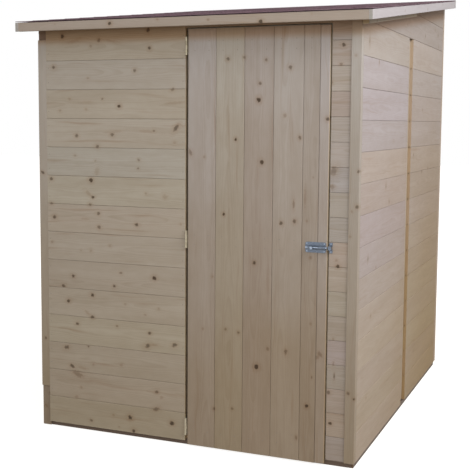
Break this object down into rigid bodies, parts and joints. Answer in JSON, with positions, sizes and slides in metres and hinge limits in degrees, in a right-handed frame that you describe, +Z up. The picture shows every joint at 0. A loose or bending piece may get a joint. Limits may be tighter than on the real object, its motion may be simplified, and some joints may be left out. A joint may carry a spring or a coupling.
{
  "type": "lean-to garden shed",
  "caption": "Small timber lean-to shed with one sloping shingled roof, boarded panel walls and a hinged ledged door with a barrel bolt.",
  "frame": {"origin": "on the ground, at the middle of the roof's plan", "axes": "+Z up, +Y from the door to the back wall, +X to the right of a person facing the door"},
  "size_m": [1.716, 2.08, 2.2452],
  "materials": {
    "spruce_boards": "planed, unpainted, matt",
    "spruce_frame": "planed, unpainted, matt",
    "roof_deck": "sawn, matt",
    "felt_shingles": "mineral granules, matt",
    "galvanised_steel": "zinc plated, satin",
    "hinge_metal": "plated, satin"
  },
  "bodies": {
    "shed": {"floor_deck": "spruce_boards", "front_left_cladding": "spruce_boards", "front_left_corner_trim": "spruce_boards", "front_right_cladding": "spruce_boards", "door_head_board": "spruce_boards", "right_front_cladding": "spruce_boards", "right_rear_cladding": "spruce_boards", "right_gable_cladding": "spruce_boards", "left_front_cladding": "spruce_boards", "left_rear_cladding": "spruce_boards", "left_gable_cladding": "spruce_boards", "rear_left_cladding": "spruce_boards", "rear_right_cladding": "spruce_boards", "front_fascia": "spruce_boards", "left_fascia": "spruce_boards", "right_fascia": "spruce_boards", "floor_bearers": "spruce_frame", "front_left_frame": "spruce_frame", "front_left_corner_post": "spruce_frame", "front_right_frame": "spruce_frame", "front_right_corner_post": "spruce_frame", "door_head_rail": "spruce_frame", "right_front_frame": "spruce_frame", "right_rear_frame": "spruce_frame", "right_gable_rail": "spruce_frame", "left_front_frame": "spruce_frame", "left_rear_frame": "spruce_frame", "left_gable_rail": "spruce_frame", "rear_left_frame": "spruce_frame", "rear_right_frame": "spruce_frame", "roof_battens": "spruce_frame", "roof_deck_front": "roof_deck", "roof_deck_rear": "roof_deck", "roof_shingles": "felt_shingles", "bolt_keeper": "galvanised_steel", "hinge_fixed_leaves": "hinge_metal"},
    "door": {"door_boards": "spruce_boards", "door_ledge_top": "spruce_frame", "door_ledge_middle": "spruce_frame", "door_ledge_bottom": "spruce_frame", "door_brace_lower": "spruce_frame", "door_brace_upper": "spruce_frame", "hinge_door_leaves": "hinge_metal", "bolt_housing": "galvanised_steel"},
    "bolt": {"bolt_rod": "galvanised_steel"}
  },
  "joints": [
    {"name": "door_hinge", "type": "hinge", "parent": "shed", "child": "door", "pos_m": [-0.009, -0.9555, 0.971], "axis": [0, 0, -1], "range_deg": [0, 165]},
    {"name": "bolt_slide", "type": "slide", "parent": "door", "child": "bolt", "axis": [1, 0, 0], "range_m": [0, 0.022]}
  ]
}
